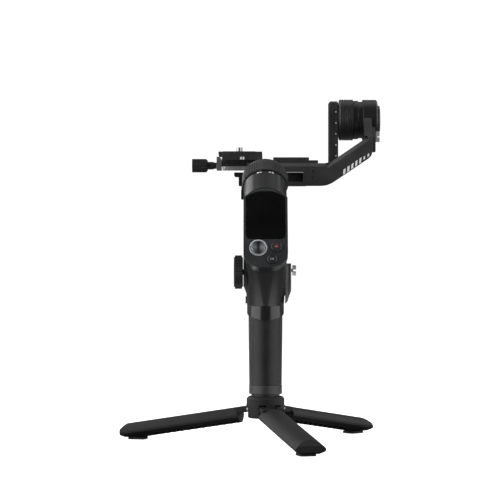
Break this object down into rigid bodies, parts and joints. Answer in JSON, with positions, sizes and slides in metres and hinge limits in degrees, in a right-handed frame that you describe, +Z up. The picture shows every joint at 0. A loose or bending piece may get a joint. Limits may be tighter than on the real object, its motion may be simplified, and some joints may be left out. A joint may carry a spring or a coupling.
{
  "type": "gimbal stabilizer",
  "caption": "Three-axis handheld camera gimbal with leaning control head, angled motors, quick release clamp, geared grip controls and a folding table tripod.",
  "frame": {"origin": "on the ground plane, under the centre line of the handle", "axes": "+X to the user's right, +Y forward where a lens would look, +Z up"},
  "size_m": [0.237, 0.2566, 0.309],
  "materials": {
    "casing_black": "satin moulded plastic",
    "panel_grey": "satin moulded plastic, slightly lighter",
    "grip_rubber": "matte rubber sleeve",
    "leg_plastic": "matte glass-filled plastic",
    "foot_rubber": "matte rubber",
    "arm_metal": "satin black anodised aluminium",
    "motor_black": "satin black motor housings",
    "knurl_black": "knurled black aluminium",
    "bright_metal": "turned bright metal",
    "steel": "plain steel pins and screws",
    "display_black": "gloss black window",
    "joystick_ring": "satin metal bezel",
    "joystick_rubber": "matte rubber",
    "button_grey": "satin plastic",
    "copper": "enamelled copper windings",
    "circuit_green": "solder-masked board",
    "cell_wrap": "shrink-wrapped cells",
    "tube_metal": "plain drawn tube"
  },
  "bodies": {
    "handle": {"tripod_hub": "leg_plastic", "leg_pins": "steel", "tripod_stud": "steel", "base_collar": "arm_metal", "grip_tube": "tube_metal", "grip_sleeve": "grip_rubber", "battery_cells": "cell_wrap", "rear_casing": "casing_black", "front_casing": "casing_black", "control_panel": "panel_grey", "display_window": "display_black", "display_module": "circuit_green", "main_board": "circuit_green", "joystick_bezel": "joystick_ring", "wheel_axle": "steel", "trigger_pin": "steel", "accessory_port": "arm_metal", "port_screws": "steel", "pan_housing": "motor_black", "pan_stator": "copper", "pan_bearings": "steel"},
    "leg_front": {"leg_front": "leg_plastic", "foot_front": "foot_rubber"},
    "leg_left": {"leg_left": "leg_plastic", "foot_left": "foot_rubber"},
    "leg_right": {"leg_right": "leg_plastic", "foot_right": "foot_rubber"},
    "joystick_cradle": {"joystick_cradle": "steel"},
    "joystick": {"joystick_cap": "joystick_rubber"},
    "record_button": {"record_button": "button_grey"},
    "mode_button": {"mode_button": "button_grey"},
    "power_button": {"power_button": "button_grey"},
    "focus_wheel": {"focus_wheel": "knurl_black"},
    "trigger": {"trigger": "grip_rubber"},
    "port_knob": {"port_knob": "bright_metal"},
    "pan_lock_ring": {"pan_lock_ring": "knurl_black"},
    "pan": {"pan_rotor": "motor_black", "pan_arm": "arm_metal", "roll_housing": "motor_black", "roll_stator": "copper", "roll_bearings": "steel"},
    "roll_latch": {"roll_latch": "knurl_black"},
    "roll": {"roll_rotor": "motor_black", "roll_clamp": "arm_metal"},
    "roll_arm": {"roll_arm": "arm_metal", "tilt_housing": "motor_black", "tilt_stator": "copper", "tilt_bearings": "steel", "tilt_end_cap": "motor_black", "arm_cover": "arm_metal"},
    "tilt_lock": {"tilt_lock_knob": "bright_metal"},
    "tilt": {"tilt_rotor": "motor_black"},
    "tilt_arm": {"tilt_arm": "arm_metal"},
    "clamp": {"clamp_base": "arm_metal"},
    "clamp_jaw": {"clamp_jaw": "bright_metal"},
    "clamp_knob": {"clamp_knob": "knurl_black"},
    "plate": {"release_plate": "arm_metal", "plate_pads": "foot_rubber", "camera_screw": "steel"}
  },
  "joints": [
    {"name": "leg_front_fold", "type": "hinge", "parent": "handle", "child": "leg_front", "pos_m": [0.00386, -0.01346, 0.0295], "axis": [0.9613, 0.2756, 0], "range_deg": [0, 78]},
    {"name": "leg_right_fold", "type": "hinge", "parent": "handle", "child": "leg_right", "pos_m": [0.00973, 0.01007, 0.0295], "axis": [-0.7193, 0.6947, 0], "range_deg": [0, 78]},
    {"name": "leg_left_fold", "type": "hinge", "parent": "handle", "child": "leg_left", "pos_m": [-0.01358, 0.00339, 0.0295], "axis": [-0.2419, -0.9703, 0], "range_deg": [0, 78]},
    {"name": "joystick_up_down", "type": "hinge", "parent": "handle", "child": "joystick_cradle", "pos_m": [-0.00645, -0.02121, 0.16905], "axis": [1, 0, 0], "range_deg": [-9, 9], "stiffness_Nm_per_rad": 0.01},
    {"name": "joystick_left_right", "type": "hinge", "parent": "joystick_cradle", "child": "joystick", "pos_m": [-0.00645, -0.02121, 0.16905], "axis": [0, 0.4384, 0.8988], "range_deg": [-9, 9], "stiffness_Nm_per_rad": 0.01},
    {"name": "record_press", "type": "slide", "parent": "handle", "child": "record_button", "axis": [0, 0.8988, -0.4384], "range_m": [0, 0.0006]},
    {"name": "mode_press", "type": "slide", "parent": "handle", "child": "mode_button", "axis": [0, 0.8988, -0.4384], "range_m": [0, 0.0006]},
    {"name": "power_press", "type": "slide", "parent": "handle", "child": "power_button", "axis": [1, 0, 0], "range_m": [0, 0.0006]},
    {"name": "focus_wheel_turn", "type": "hinge", "parent": "handle", "child": "focus_wheel", "pos_m": [-0.0238, -0.003, 0.1496], "axis": [1, 0, 0], "continuous": true},
    {"name": "trigger_pull", "type": "hinge", "parent": "handle", "child": "trigger", "pos_m": [0, 0.016, 0.163], "axis": [-1, 0, 0], "range_deg": [0, 5]},
    {"name": "port_knob_pull", "type": "slide", "parent": "handle", "child": "port_knob", "axis": [1, 0, 0], "range_m": [0, 0.003]},
    {"name": "pan_lock_turn", "type": "hinge", "parent": "handle", "child": "pan_lock_ring", "pos_m": [0, 0.0431, 0.2359], "axis": [0, 0.7071, 0.7071], "range_deg": [0, 30]},
    {"name": "pan_axis", "type": "hinge", "parent": "handle", "child": "pan", "pos_m": [0, 0.0431, 0.2359], "axis": [0, 0.7071, 0.7071], "continuous": true},
    {"name": "roll_latch_slide", "type": "slide", "parent": "pan", "child": "roll_latch", "axis": [0, 0, -1], "range_m": [0, 0.003]},
    {"name": "roll_axis", "type": "hinge", "parent": "pan", "child": "roll", "pos_m": [0, 0.0972, 0.23], "axis": [0, 0, 1], "range_deg": [-20, 45]},
    {"name": "roll_arm_slide", "type": "slide", "parent": "roll", "child": "roll_arm", "axis": [1, 0, 0], "range_m": [-0.008, 0.01]},
    {"name": "tilt_lock_press", "type": "slide", "parent": "roll_arm", "child": "tilt_lock", "axis": [1, 0, 0], "range_m": [0, 0.002]},
    {"name": "tilt_axis", "type": "hinge", "parent": "roll_arm", "child": "tilt", "pos_m": [0.076, 0.0972, 0.29], "axis": [1, 0, 0], "range_deg": [-90, 120]},
    {"name": "tilt_arm_slide", "type": "slide", "parent": "tilt", "child": "tilt_arm", "axis": [0, 0, 1], "range_m": [0, 0.012]},
    {"name": "clamp_slide", "type": "slide", "parent": "tilt_arm", "child": "clamp", "axis": [1, 0, 0], "range_m": [-0.01, 0]},
    {"name": "clamp_knob_turn", "type": "hinge", "parent": "clamp", "child": "clamp_knob", "pos_m": [-0.0546, 0.0972, 0.2475], "axis": [1, 0, 0], "range_deg": [0, 720]},
    {"name": "clamp_jaw_open", "type": "slide", "parent": "clamp", "child": "clamp_jaw", "axis": [-1, 0, 0], "range_m": [0, 0.0026]},
    {"name": "plate_slide", "type": "slide", "parent": "clamp", "child": "plate", "axis": [0, 1, 0], "range_m": [-0.012, 0.004]}
  ],
  "couplings": [
    {"joint": "clamp_jaw_open", "follows": "clamp_knob_turn", "m_per_rad": 0.00019894}
  ]
}
